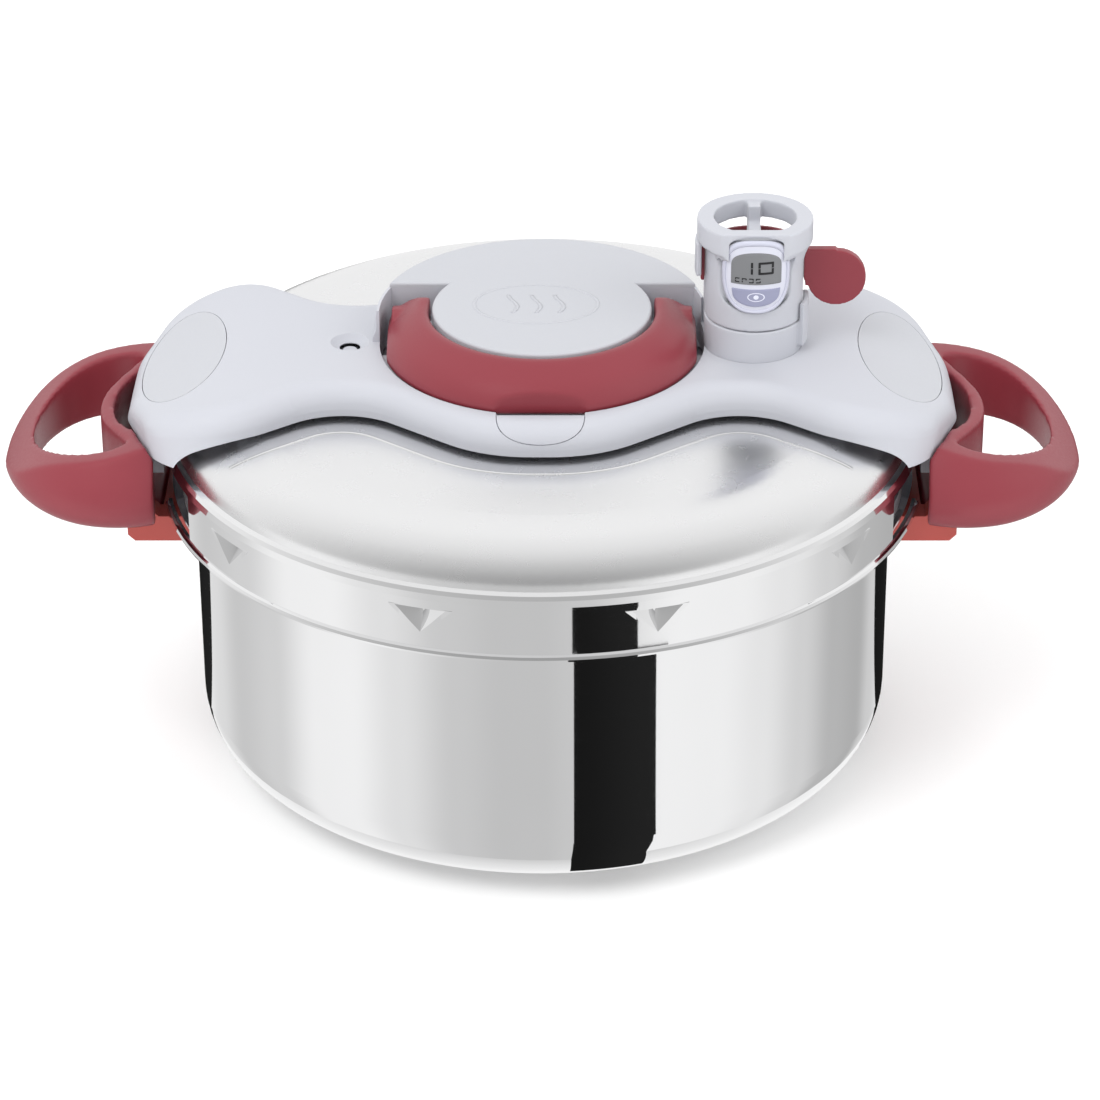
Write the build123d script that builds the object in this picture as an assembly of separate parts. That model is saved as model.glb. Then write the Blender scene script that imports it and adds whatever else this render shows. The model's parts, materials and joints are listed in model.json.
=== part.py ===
from build123d import *
import math
import os

# A stovetop pressure cooker: steel pot, steel lid, two sliding jaws that clamp lid to pot,
# a moulded bridge over the lid with a lifting handle, a valve and a clip-on timer.
# Origin: centre of the underside. +X along the bridge, -Y to the front, +Z up. Millimetres.

# ---------------------------------------------------------------- driving dimensions
SHEET = 1.2                 # steel sheet
FIT = 0.05                  # radial clearance of a shaft in its bore

POT_R = 122.0
POT_BASE_R = 96.0
POT_BASE_H = 3.5
POT_CORNER_R = 21.5
RIM_Z = 105.8               # top face of the pot's rim flange
RIM_R = 129.5

LID_TOP_Z = 131.5
LID_FLAT_R = 60.0
LID_SHOULDER_R = 121.5
LID_FLANGE_R = 126.3
LID_FLANGE_Z = 108.6

JAW_TOP_Z = 140.5           # flat of the jaws, outside
JAW_FLAT_R = 104.0
JAW_EDGE_R = 128.6
JAW_EDGE_Z = 125.6
BAND_R = 131.6
BAND_TOP_Z = 124.4
BEAD_R = 1.3
BEAD_Z = 102.6
HOOK_R = 124.5              # inner edge of the hook under the rim
JAW_GAP = 6.0               # half the gap between the two jaws
JAW_TRAVEL = 11.8

BEAM_TOP_Z = 152.5
BEAM_BOTTOM_Z = 129.0
WALL = 2.4                  # moulded wall
HUB_R = 57.0
HUB_TOP_Z = 166.0
CAP_T = 1.8
DRUM_R = 37.8
DRUM_WALL = 2.0

PIVOT_Y = 6.0               # axis of the lifting handle, along X
PIVOT_Z = 153.5
LUG_R = 9.0
BAIL_RISE = 12.4            # top of the lifting handle above its axis
SWING_GAP = 0.7
BAIL_INNER_R = 38.8
BAIL_ROOT_R = 40.1          # inner wall low down, wide enough to swing clear of the drum
BAIL_HALF = 53.2            # flat outer faces at the ends
BAIL_OUTER_R = 55.2
BAIL_BOTTOM_Z = 150.6
POCKET_FLOOR_Z = 150.2
HUB_WALL_Z = 145.0          # the hub's ring wall starts here, above the inner frame

MODULE = 1.25               # rack and pinion
TEETH = 12
PITCH_R = MODULE * TEETH / 2
ADDENDUM = 0.8
DEDENDUM = 1.05
BACKLASH = 0.3
PRESSURE_ANGLE = math.radians(20)
GEAR_X0 = 24.0
GEAR_X1 = 31.0
SHAFT_R = 4.0
SCREW_R = 1.9
RACK_LOW_Z = PIVOT_Z - PITCH_R
RACK_HIGH_Z = PIVOT_Z + PITCH_R
PLATE_Z0 = JAW_TOP_Z + 0.05 # slide plates riveted on the jaws
PLATE_Z1 = 142.0
RIVET_X = (-15.0, 15.0)
RIVET_Y = 32.0

BUTTON_HALF = 14.7          # release button
BUTTON_AXIS_Z = 153.2       # centre of the button's half ellipse
BUTTON_DROP = 6.6
BUTTON_BACK_Y = -56.2
SPRING_Z = 146.4

VALVE_X = 72.8              # valve, selector and timer share this axis
TIMER_R = 16.8
TIMER_Z0 = 167.5
TIMER_TOP_Z = 200.0
LOOP_R = 19.8
LOOP_Z0 = 192.0
COLLAR_IN_R = 17.0
COLLAR_OUT_R = 18.4
CRADLE_R = 16.9
GUARD_R = 20.4
CELL_R = 10.0
BEZEL_HALF = 12.7
BEZEL_Z0 = 171.8
BEZEL_Z1 = 198.4
FACE_Y = -18.3              # front of the timer's face, from its axis
ROOM_HALF = 10.0            # half width of the room for display and board

INDICATOR_X = -66.5
STUD_X = 98.0

HANDLE_TOP_Z = 133.4
HANDLE_BOTTOM_Z = 105.0
GRIP_X = 146.0                 # centre of the loop's half ellipse
GRIP_HALF = 53.0
HINGE_X = 137.5                # side handle hinge, along Y
HINGE_Z = 96.5
NOSE_R = 6.0                   # round end of the bracket's cheeks
TONGUE_HALF = 20.5
CHEEK_IN = 21.0
CHEEK_OUT = 30.0
PIN_END = 27.5
BRACKET_TOP_Z = 100.0
BRACKET_SCREW_Y = (-12, 12)
BRACKET_SCREW_Z = 95.0
PIN_R = 2.5


# ---------------------------------------------------------------- helpers
def box(x0, x1, y0, y1, z0, z1):
    size = (x1 - x0, y1 - y0, z1 - z0)
    centre = ((x0 + x1) / 2, (y0 + y1) / 2, (z0 + z1) / 2)
    return Pos(*centre) * Box(*size)


def rod(radius, z0, z1, x=0.0, y=0.0):
    return Pos(x, y, (z0 + z1) / 2) * Cylinder(radius, z1 - z0)


def tube(inner, outer, z0, z1, x=0.0, y=0.0):
    return rod(outer, z0, z1, x, y) - rod(inner, z0 - 1, z1 + 1, x, y)


def rod_x(radius, x0, x1, y, z):
    return Pos((x0 + x1) / 2, y, z) * Rot(0, 90, 0) * Cylinder(radius, x1 - x0)


def rod_y(radius, y0, y1, x, z):
    return Pos(x, (y0 + y1) / 2, z) * Rot(90, 0, 0) * Cylinder(radius, y1 - y0)


def polygon(points):
    return make_face(Polyline(*points, close=True))


def turned(points):
    # revolve a closed (radius, height) outline about Z
    return revolve(Plane.XZ * polygon(points), Axis.Z)


def prism_xz(points, y0, y1):
    # extrude a closed (x, z) outline from y0 to y1
    face = Plane.XZ.offset(-y0) * polygon(points)
    return extrude(face, amount=-(y1 - y0))


def sector(angle0, angle1, radius, z0, z1, x=0.0, y=0.0):
    # pie slice between two angles in degrees, measured from +X
    steps = 12
    arc = [angle0 + (angle1 - angle0) * i / steps for i in range(steps + 1)]
    reach = radius / math.cos(math.radians((angle1 - angle0) / steps))
    points = [(0, 0)]
    for angle in arc:
        a = math.radians(angle)
        points.append((reach * math.cos(a), reach * math.sin(a)))
    return Pos(x, y, z0) * extrude(polygon(points), amount=z1 - z0)


def mirrored_x(solid):
    return mirror(solid, about=Plane.YZ)


def rounded(solid, edges, *radii):
    # fillet with the first radius that the geometry accepts
    for radius in radii:
        try:
            result = fillet(edges, radius)
        except Exception:
            continue
        if result.is_valid and result.volume > 0.5 * solid.volume:
            return result
    return solid


def one_body(*pieces):
    whole = pieces[0]
    for piece in pieces[1:]:
        whole = whole + piece
    return whole


def save(name, *solids):
    bodies = [solid for group in solids for solid in group.solids()]
    shape = bodies[0] if len(bodies) == 1 else Compound(children=bodies)
    shape.label = name
    export_step(shape, f"parts/{name}.step")


# ---------------------------------------------------------------- pot
def pot():
    r = POT_R
    c = POT_CORNER_R
    z0 = POT_BASE_H
    t = SHEET
    outer = Polyline((0, z0), (r - c, z0))
    outer += CenterArc((r - c, z0 + c), c, -90, 90)
    outer += Polyline((r, z0 + c), (r, RIM_Z - t), (RIM_R, RIM_Z - t), (RIM_R, RIM_Z))
    outer += Polyline((RIM_R, RIM_Z), (r - t, RIM_Z), (r - t, z0 + c))
    outer += CenterArc((r - c, z0 + c), c - t, 0, -90)
    outer += Polyline((r - c, z0 + t), (0, z0 + t), (0, z0))
    return revolve(Plane.XZ * make_face(outer), Axis.Z)


def pot_base_disc():
    r = POT_BASE_R
    h = POT_BASE_H
    return turned([(0, 0), (r - 2.5, 0), (r - 0.6, 0.8), (r, 2.4), (r, h), (0, h)])


# ---------------------------------------------------------------- lid
def lid():
    top = LID_TOP_Z
    z1 = LID_FLANGE_Z + SHEET
    rise = top - z1
    run = LID_SHOULDER_R - LID_FLAT_R
    outer = Polyline((0, top), (LID_FLAT_R, top))
    outer += EllipticalCenterArc((LID_FLAT_R, z1), run, rise, start_angle=0, arc_size=90)
    outer += Polyline((LID_SHOULDER_R, z1), (LID_FLANGE_R, z1), (LID_FLANGE_R, LID_FLANGE_Z))
    outer += Line((LID_FLANGE_R, LID_FLANGE_Z), (LID_SHOULDER_R - SHEET, LID_FLANGE_Z))
    outer += Line((LID_SHOULDER_R - SHEET, LID_FLANGE_Z), (LID_SHOULDER_R - SHEET, z1))
    outer += EllipticalCenterArc((LID_FLAT_R, z1), run - SHEET, rise - SHEET, start_angle=0, arc_size=90)
    outer += Polyline((LID_FLAT_R, top - SHEET), (0, top - SHEET), (0, top))
    shell = revolve(Plane.XZ * make_face(outer), Axis.Z)
    holes = [rod(6.0, 100, 140, VALVE_X), rod(2.6, 100, 140, INDICATOR_X), rod(5.0, 100, 140)]
    holes += [rod(2.9, 100, 140, side * STUD_X) for side in (-1, 1)]
    for hole in holes:
        shell -= hole
    return shell


def lid_gasket():
    z0 = RIM_Z + 0.05
    z1 = LID_FLANGE_Z - 0.05
    mid = (z0 + z1) / 2
    section = [(126.2, z0), (126.2, z1), (119.5, z1), (117.6, mid + 0.5), (119.0, mid), (117.6, mid - 0.5)]
    section += [(119.5, z0)]
    return turned(section)


def lid_studs():
    studs = []
    for side in (-1, 1):
        x = side * STUD_X
        stud = one_body(rod(5.0, 119.5, 122, x), rod(2.9, 122, 130, x), rod(4.5, 130, 142.2, x))
        studs.append(stud - rod(SCREW_R + 0.02, 133, 143, x))
    return studs


# ---------------------------------------------------------------- jaws
def dome_profile(raise_by, reach):
    # closed outline under the outside of the jaws' dome, raised for clearance
    top = JAW_TOP_Z + raise_by
    run = JAW_EDGE_R + raise_by - JAW_FLAT_R
    drop = JAW_TOP_Z - JAW_EDGE_Z + raise_by
    curve = Polyline((0, top), (JAW_FLAT_R, top))
    curve += EllipticalCenterArc((JAW_FLAT_R, top - drop), run, drop, start_angle=0, arc_size=90)
    curve += Polyline((JAW_FLAT_R + run, top - drop), (reach, top - drop), (reach, 90), (0, 90), (0, top))
    return curve


def jaw_section():
    t = SHEET
    top = JAW_TOP_Z
    run = JAW_EDGE_R - JAW_FLAT_R
    drop = top - JAW_EDGE_Z
    lip0 = BEAD_Z - 0.4
    lip1 = lip0 + t
    curve = Polyline((0, top), (JAW_FLAT_R, top))
    curve += EllipticalCenterArc((JAW_FLAT_R, top - drop), run, drop, start_angle=0, arc_size=90)
    curve += Polyline(
        (JAW_EDGE_R, JAW_EDGE_Z),
        (JAW_EDGE_R + 1.6, BAND_TOP_Z + 0.4),
        (BAND_R - 0.5, BAND_TOP_Z - 0.8),
        (BAND_R, BAND_TOP_Z - 3.0),
        (BAND_R, BEAD_Z + BEAD_R),
        (BAND_R + 0.9, BEAD_Z + 0.9),
        (BAND_R + BEAD_R, BEAD_Z),
        (BAND_R + 0.9, BEAD_Z - 0.9),
        (BAND_R, BEAD_Z - BEAD_R),
        (BAND_R - t, lip0),
        (HOOK_R, lip0),
        (HOOK_R, lip1),
        (BAND_R - t, lip1),
        (BAND_R - t, BAND_TOP_Z - 3.4),
        (BAND_R - t - 0.7, BAND_TOP_Z - t),
        (JAW_EDGE_R - t, JAW_EDGE_Z - t),
    )
    curve += Line((JAW_EDGE_R - t, JAW_EDGE_Z - t), (JAW_EDGE_R - t, top - drop))
    curve += EllipticalCenterArc((JAW_FLAT_R, top - drop), run - t, drop - t, start_angle=0, arc_size=90)
    curve += Polyline((JAW_FLAT_R, top - t), (0, top - t), (0, top))
    return make_face(curve)


def gusset(angle, offset):
    # a pressed triangle in the band, point downwards
    half = 11.0
    top = 118.5
    low = 108.0
    depth = 4.0
    r = BAND_R - offset
    face = Plane.YZ.offset(r + 1.0) * polygon([(-half, top), (half, top), (0, low)])
    inner = Plane.YZ.offset(r - depth) * polygon([(-1.2, top - 1.0), (1.2, top - 1.0), (0, top - 3.4)])
    return Rot(0, 0, angle) * loft([face, inner])


def front_jaw():
    shell = revolve(Plane.XZ * jaw_section(), Axis.Z)
    for angle in (-107, -73, -142, -38):
        shell += gusset(angle, SHEET)
        shell -= gusset(angle, 0)
    cut = box(-140, 140, -JAW_GAP, 140, 90, 150)
    cut += box(-140, -108, -19, 0, 90, 150) + box(108, 140, -19, 0, 90, 150)
    for side in (-1, 1):
        outward = -90 + side * 90
        cut += sector(min(outward, outward - side * 11), max(outward, outward - side * 11), 140, 90, 121)
        low = sorted((outward, outward - side * 25))
        cut += sector(low[0], low[1], 140, BEAD_Z + 1.9, 121.5)
        hook = sorted((outward, outward - side * 30))
        cut += sector(hook[0], hook[1], BAND_R - SHEET - 0.3, 90, 110)
    shell -= cut
    for x, radius in ((VALVE_X, 10.0), (INDICATOR_X, 8.0), (0.0, 9.0)):
        shell -= rod(radius, 130, 150, x)
    for x in RIVET_X:
        shell -= rod(1.6, 130, 150, x, -RIVET_Y)
    return max(shell.solids(), key=lambda solid: solid.volume)


def rack_teeth(y0, y1, x0, x1, pitch_z, up):
    # trapezoid teeth with one tooth centred on the pinion
    pitch = math.pi * MODULE
    half = pitch / 4 - BACKLASH / 4
    slope = math.tan(PRESSURE_ANGLE)
    tip = half - ADDENDUM * slope
    root = half + DEDENDUM * slope
    teeth = []
    for step in range(-4, 6):
        y = PIVOT_Y + step * pitch
        if y - root < y0 or y + root > y1:
            continue
        z_root = pitch_z - up * (DEDENDUM + 0.2)
        wide = root + 0.2 * slope
        z_tip = pitch_z + up * ADDENDUM
        outline = [(y - wide, z_root), (y - tip, z_tip), (y + tip, z_tip), (y + wide, z_root)]
        teeth.append(extrude(Plane.YZ.offset(x0) * polygon(outline), amount=x1 - x0))
    return teeth


def front_slide():
    body = box(-34, 34, -40, -10, PLATE_Z0, PLATE_Z1)
    root_z = RACK_LOW_Z - DEDENDUM
    for x0 in (GEAR_X0, -GEAR_X1):
        x1 = x0 + GEAR_X1 - GEAR_X0
        body += box(x0, x1, -16, 22.5, JAW_TOP_Z + 0.5, root_z)
        for tooth in rack_teeth(-1.5, 22.5, x0, x1, RACK_LOW_Z, 1):
            body += tooth
    for x in RIVET_X:
        body -= rod(1.6, 130, 150, x, -RIVET_Y)
    return body


def rear_slide():
    body = box(-21, 21, 10, 40, PLATE_Z0, PLATE_Z1) + box(-32, 32, 23.4, 40, PLATE_Z0, PLATE_Z1)
    root_z = RACK_HIGH_Z + DEDENDUM
    for x0 in (GEAR_X0, -GEAR_X1):
        x1 = x0 + GEAR_X1 - GEAR_X0
        body += box(x0, x1, 23.4, 27, PLATE_Z1 - 0.5, 163.8)
        body += box(x0, x1, -10, 27, root_z, 163.8)
        for tooth in rack_teeth(-10, 14, x0, x1, RACK_HIGH_Z, -1):
            body += tooth
    for x in RIVET_X:
        body -= rod(1.6, 130, 150, x, RIVET_Y)
    return body


def slide_rivets(side):
    rivets = []
    for x in RIVET_X:
        y = side * RIVET_Y
        shank = rod(1.6, JAW_TOP_Z - SHEET, PLATE_Z1, x, y)
        head = rod(3.0, JAW_TOP_Z - SHEET - 1.2, JAW_TOP_Z - SHEET, x, y)
        rivets.append(one_body(shank, head))
    return rivets


# ---------------------------------------------------------------- lifting handle and its pinions
def involute_point(base, radius):
    angle = math.acos(base / radius)
    return math.tan(angle) - angle


def pinion_outline():
    base = PITCH_R * math.cos(PRESSURE_ANGLE)
    tip = PITCH_R + ADDENDUM
    root = PITCH_R - DEDENDUM
    half_pitch = (math.pi * MODULE / 4 - BACKLASH / 4) / PITCH_R
    at_pitch = involute_point(base, PITCH_R)
    flank = []
    for step in range(6):
        radius = base + (tip - base) * step / 5 + 1e-6
        flank.append((radius, half_pitch + at_pitch - involute_point(base, radius)))
    points = []
    for tooth in range(TEETH):
        centre = math.pi / 2 + (tooth + 0.5) * 2 * math.pi / TEETH
        start = flank[0][1]
        side = [(root, start)] + flank
        for radius, offset in side:
            points.append((radius * math.cos(centre - offset), radius * math.sin(centre - offset)))
        for radius, offset in reversed(side):
            points.append((radius * math.cos(centre + offset), radius * math.sin(centre + offset)))
    return points


def pinion(side):
    gear = extrude(Plane.YZ.offset(GEAR_X0) * Pos(PIVOT_Y, PIVOT_Z) * polygon(pinion_outline()),
                   amount=GEAR_X1 - GEAR_X0)
    shaft = rod_x(SHAFT_R, GEAR_X1 - 0.5, BAIL_INNER_R - 1.6, PIVOT_Y, PIVOT_Z)
    key = box(BAIL_INNER_R - 2, 50, PIVOT_Y - 2.8, PIVOT_Y + 2.8, PIVOT_Z - 2.8, PIVOT_Z + 2.8)
    whole = one_body(gear, shaft, key)
    return whole if side > 0 else mirrored_x(whole)


def swing_ellipse(half_y, half_z):
    # elliptic rod along the lifting handle's axis
    return extrude(Plane.YZ.offset(-60) * Pos(PIVOT_Y, PIVOT_Z) * Ellipse(half_y, half_z), amount=120)


def swing_rear_y():
    # the handle, standing up, reaches back to just before this plane
    return PIVOT_Y + BAIL_RISE + SWING_GAP


def opening_handle():
    # a crescent round the front of the hub, highest at its inner edge, with a round lug at each end
    top = PIVOT_Z + BAIL_RISE
    section = Polyline((BAIL_ROOT_R, BAIL_BOTTOM_Z), (BAIL_ROOT_R, top - 9), (BAIL_INNER_R, top - 1.5))
    section += Spline((BAIL_INNER_R, top - 1.5), (BAIL_INNER_R + 2.0, top), (46.0, top - 2.0), (52.0, top - 6.6),
                      (BAIL_OUTER_R, BAIL_BOTTOM_Z + 3.4))
    section += Polyline((BAIL_OUTER_R, BAIL_BOTTOM_Z + 3.4), (BAIL_OUTER_R, BAIL_BOTTOM_Z + 1),
                        (BAIL_OUTER_R - 1, BAIL_BOTTOM_Z), (BAIL_ROOT_R, BAIL_BOTTOM_Z))
    crescent = revolve(Plane.XZ * make_face(section), Axis.Z)
    end = crescent & swing_ellipse(LUG_R, BAIL_RISE)
    crescent -= box(-60, 60, PIVOT_Y, 60, 140, 170)
    crescent += end & box(-60, 60, PIVOT_Y - 1, 60, PIVOT_Z, 170)
    for side in (-1, 1):
        inner = side * BAIL_INNER_R
        crescent += rod_x(LUG_R, min(inner, side * 52), max(inner, side * 52), PIVOT_Y, PIVOT_Z)
    crescent &= box(-BAIL_HALF, BAIL_HALF, -80, 80, 140, 170)
    crescent -= box(-BAIL_INNER_R, BAIL_INNER_R, -2, 40, 140, 170)
    for side in (-1, 1):
        crescent -= box(min(side * 30, side * 50), max(side * 30, side * 50), PIVOT_Y - 2.8, PIVOT_Y + 2.8,
                        PIVOT_Z - 2.8, PIVOT_Z + 2.8)
    crescent -= box(-15.4, 15.4, -60, -52.4, 140, 170)
    return max(crescent.solids(), key=lambda solid: solid.volume)


# ---------------------------------------------------------------- bridge housing
def bridge_outline(inset=0.0):
    # wavy plan of the bridge: corners of one quarter, each with its rounding radius
    quarter = [(19, 66.5, 45), (67, 29, 27), (104, 57.5, 24), (131, 47, 26), (143.9, 12, 30)]
    rear = [(19, 61.0, 45)] + quarter[1:]
    loop = [(x, -y, r) for x, y, r in quarter] + [(x, y, r) for x, y, r in reversed(rear)]
    loop += [(-x, y, r) for x, y, r in rear] + [(-x, -y, r) for x, y, r in reversed(quarter)]
    corners = [(x, y) for x, y, _ in loop]
    outline = make_face(FilletPolyline(*corners, radius=[r for _, _, r in loop], close=True))
    return offset(outline, -inset, kind=Kind.ARC) if inset else outline


def bridge_side(drop=0.0):
    # side elevation of the bridge: level, then rounding down at each end
    top = BEAM_TOP_Z - drop
    base = 144.6 - drop * 0.8
    foot = BEAM_BOTTOM_Z - 4
    half = [(116, top, 70), (141 - drop / 2, top - 14.5, 12)]
    ridge = [(-x, z, r) for x, z, r in reversed(half)] + half
    corners = [(-base, foot)] + [(x, z) for x, z, _ in ridge] + [(base, foot)]
    curve = FilletPolyline(*corners, radius=[r for _, _, r in ridge]) + Line((base, foot), (-base, foot))
    return extrude(Plane.XZ.offset(-80) * make_face(curve), amount=160)


def jaw_clearance(raise_by):
    # space swept by the jaws' dome as it slides both ways
    profile = Plane.XZ * make_face(dome_profile(raise_by, 150))
    half_turn = revolve(profile, Axis.Z)
    span = JAW_TRAVEL + 0.4
    right = extrude(Plane.XZ.offset(-span) * make_face(dome_profile(raise_by, 150)), amount=2 * span)
    middle = right + mirrored_x(right)
    return middle + Pos(0, span, 0) * half_turn + Pos(0, -span, 0) * half_turn


def edge_place(edge):
    centre = edge.center()
    return (round(centre.X, 2), round(centre.Y, 2), round(centre.Z, 2), round(edge.length, 2))


def bridge_block():
    # solid bridge with its upper edge rounded all the way round
    block = extrude(Pos(0, 0, BEAM_BOTTOM_Z) * bridge_outline(), amount=40) & bridge_side()
    walls = [face for face in block.faces() if abs(face.normal_at(face.center()).Z) < 0.02]
    tops = [face for face in block.faces() if face.normal_at(face.center()).Z > 0.1]
    wall_edges = {edge_place(edge) for face in walls for edge in face.edges()}
    upper = [edge for face in tops for edge in face.edges() if edge_place(edge) in wall_edges]
    return fillet(upper, 8.0)


def bail_pocket():
    # room for the lifting handle at rest and as it turns up
    ring = tube(DRUM_R, HUB_R - 0.9, POCKET_FLOOR_Z, 200)
    pocket = ring & box(-60, 60, -70, PIVOT_Y, POCKET_FLOOR_Z, 200)
    upper = ring & box(-60, 60, -10, swing_rear_y(), PIVOT_Z, 200)
    lugs = swing_ellipse(BAIL_RISE + 0.4, LUG_R + 0.4) & tube(DRUM_R, HUB_R - 0.9, 140, 200)
    return pocket + upper + lugs


def hub_block(rear_r, drum_r, z0, z1, rear_y):
    rear = rod(rear_r, z0, z1) & box(-80, 80, rear_y, 80, z0, z1)
    return rear + rod(drum_r, z0, z1)


def mechanism_room():
    # hollow of the hub, in which slides, racks and pinions work
    rear_y = swing_rear_y() + WALL
    low = rod(HUB_R - WALL - 1, 120, POCKET_FLOOR_Z - WALL + 0.8)
    lug_floor = swing_ellipse(BAIL_RISE + 1.7, LUG_R + 1.7) & tube(DRUM_R - 2, HUB_R + 2, 120, 200)
    high = hub_block(HUB_R - WALL - 1, DRUM_R - DRUM_WALL, 120, 170, rear_y)
    for x0 in (GEAR_X0, -GEAR_X1):
        high += box(x0 - 0.6, x0 + GEAR_X1 - GEAR_X0 + 0.6, 8, rear_y + 1, 145, 170)
    return (low - lug_floor) + high


def housing_upper(block):
    top = HUB_TOP_Z - CAP_T
    hub = turned([(0, 145), (HUB_R + 2.5, 145), (HUB_R + 1.2, 156), (HUB_R, top), (0, top)])
    hub = (hub & box(-80, 80, 0, 80, 140, 170)) + rod(DRUM_R, 145, top)
    block += hub
    block -= bail_pocket()
    hollow = extrude(Pos(0, 0, 120) * bridge_outline(WALL), amount=60) & bridge_side(WALL)
    hollow -= rod(HUB_R + 1.5, HUB_WALL_Z, 200)
    block -= hollow
    block -= mechanism_room()
    block -= jaw_clearance(1.6)
    for side in (-1, 1):
        block -= rod_x(SHAFT_R + FIT, side * 36 - 4, side * 36 + 4, PIVOT_Y, PIVOT_Z)
        block -= end_cap_blank(side, 0.25)
    block -= rod(CRADLE_R + 0.15, 140, 160, VALVE_X)
    block -= rod(GUARD_R + 0.3, 154.7, 200, VALVE_X)
    block -= rod(3.6, 140, 160, INDICATOR_X)
    block -= Pos(INDICATOR_X, 0, BEAM_TOP_Z + 6.6) * Sphere(9.4)
    block -= button_prism(0.3, -52)
    block -= rod_y(2.4, -60, -44, 0, SPRING_Z)
    return max(block.solids(), key=lambda solid: solid.volume)


def end_cap_blank(side, grow):
    # leaf shaped inlay in the bridge end
    x = side * 124.0
    return Pos(x, 0, 135) * extrude(Ellipse(14.5 + grow, 33.0 + grow), amount=30)


def end_cap(side, block):
    plug = end_cap_blank(side, 0.0)
    return (plug & block) - Pos(0, 0, -2.2) * block


def centre_cap():
    # disc on the hub: full circle behind, stepped in to the drum where the handle passes
    z0 = HUB_TOP_Z - CAP_T + 0.05
    disc = hub_block(HUB_R - 0.4, DRUM_R, z0, HUB_TOP_Z, swing_rear_y()) - rod(GUARD_R + 0.3, 150, 180, VALVE_X)
    edges = disc.edges().group_by(Axis.Z)[-1]
    return rounded(disc, edges, 0.9, 0.5)


def housing_lower():
    # inner frame: plate under the bridge with a leg down each end
    plate = extrude(Pos(0, 0, 142.3) * bridge_outline(WALL + 1.0), amount=2.2) & box(-104, 104, -80, 80, 140, 150)
    plate -= box(-37, 37, -30, 41, 130, 150)
    plate -= swing_ellipse(BAIL_RISE + 2.0, LUG_R + 2.0)
    arm = [(100, 142.3), (100, 144.5), (118.5, 144.5), (136.6, 134.0), (136.6, 109.5)]
    arm += [(131.5, 109.5), (131.5, 131.0), (118, 142.3)]
    leg = prism_xz(arm, -15.5, 15.5)
    plate += leg + mirrored_x(leg)
    plate -= rod(7.2, 130, 150, VALVE_X)
    plate -= rod(4.2, 130, 150, INDICATOR_X)
    for side in (-1, 1):
        plate -= rod(SCREW_R + 0.2, 130, 150, side * STUD_X)
    plate += box(-4, 4, -48.4, -46.4, 144, 148.2) - rod_y(1.25, -50, -40, 0, SPRING_Z)
    return max(plate.solids(), key=lambda solid: solid.volume)


def housing_screws():
    screws = []
    for x in (-STUD_X, STUD_X):
        screws.append(one_body(rod(4.0, 144.55, 146.8, x), rod(SCREW_R, 134, 144.6, x)))
    return screws


# ---------------------------------------------------------------- release button
def button_prism(grow, back_y):
    # half ellipse in the front wall of the bridge, straight edge up
    front = -80
    face = Plane.XZ.offset(-back_y) * Pos(0, BUTTON_AXIS_Z) * Ellipse(BUTTON_HALF + grow, BUTTON_DROP + grow)
    return extrude(face, amount=back_y - front)


def unlock_button(bridge):
    block = button_prism(0.0, BUTTON_BACK_Y) & bridge
    scoop = Pos(0, -69, 161) * Rot(0, 90, 0) * Cylinder(11.5, 60)
    block -= scoop
    stem = rod_y(1.0, BUTTON_BACK_Y - 1, -43, 0, SPRING_Z)
    return max((block + stem).solids(), key=lambda solid: solid.volume)


def button_spring():
    height = 7.0
    wire = 0.28
    path = Helix(pitch=1.4, height=height, radius=1.5)
    profile = Plane(origin=path @ 0, z_dir=path % 0) * Circle(wire)
    coil = sweep(profile, path=path)
    return Pos(0, BUTTON_BACK_Y + 0.5, SPRING_Z) * Rot(-90, 0, 0) * coil


# ---------------------------------------------------------------- valve, selector, cradle
def valve_body():
    body = tube(2.85, 5.9, 120, 160, VALVE_X)
    return body + tube(2.85, 8.5, 132.0, 136, VALVE_X)


def valve_nut():
    nut = extrude(Pos(VALVE_X, 0, 124.4) * RegularPolygon(9.0, 6), amount=4.5)
    return nut - rod(5.95, 120, 140, VALVE_X)


def timer_cradle():
    # collar under the timer, with a tall guard behind and beside it and a low one outside
    x = VALVE_X
    collar = tube(CRADLE_R - 2.2, CRADLE_R, 146, 163.8, x)
    floor = tube(6.2, CRADLE_R - 1.5, 152, 154, x)
    cradle = collar + floor
    guard = tube(18.7, GUARD_R, 155, LOOP_Z0 - 0.3, x) & sector(130, 194, 40, 179.6, 200, x)
    stem = (tube(18.7, GUARD_R, 155, 180, x) + tube(16, GUARD_R, 155, 163.8, x)) & sector(128, 147, 40, 150, 200, x)
    low = (tube(17.4, 19.0, 155, 170.8, x) + tube(16, 19.0, 155, 163.8, x)) & sector(-28, 12, 40, 150, 200, x)
    return cradle + guard + stem + low


def selector_lever():
    x = VALVE_X
    hub = rod(13.8, 164.4, 167.0, x) + rod(2.8, 150, 165, x)
    arm = (tube(10, COLLAR_OUT_R, 164.4, 167.0, x) + tube(COLLAR_IN_R, COLLAR_OUT_R, 164.4, 188.4, x))
    arm = arm & sector(78, 102, 40, 160, 190, x)
    band = tube(COLLAR_IN_R, COLLAR_OUT_R, 176, 188.4, x) & sector(0, 181, 40, 160, 190, x)
    bar = box(x + COLLAR_IN_R + 0.6, x + 28, 0, 3.6, 174, 187.4)
    paddle = rod_y(10.1, 0, 3.6, x + 28.3, 176.7)
    return hub + arm + band + bar + paddle


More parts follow.
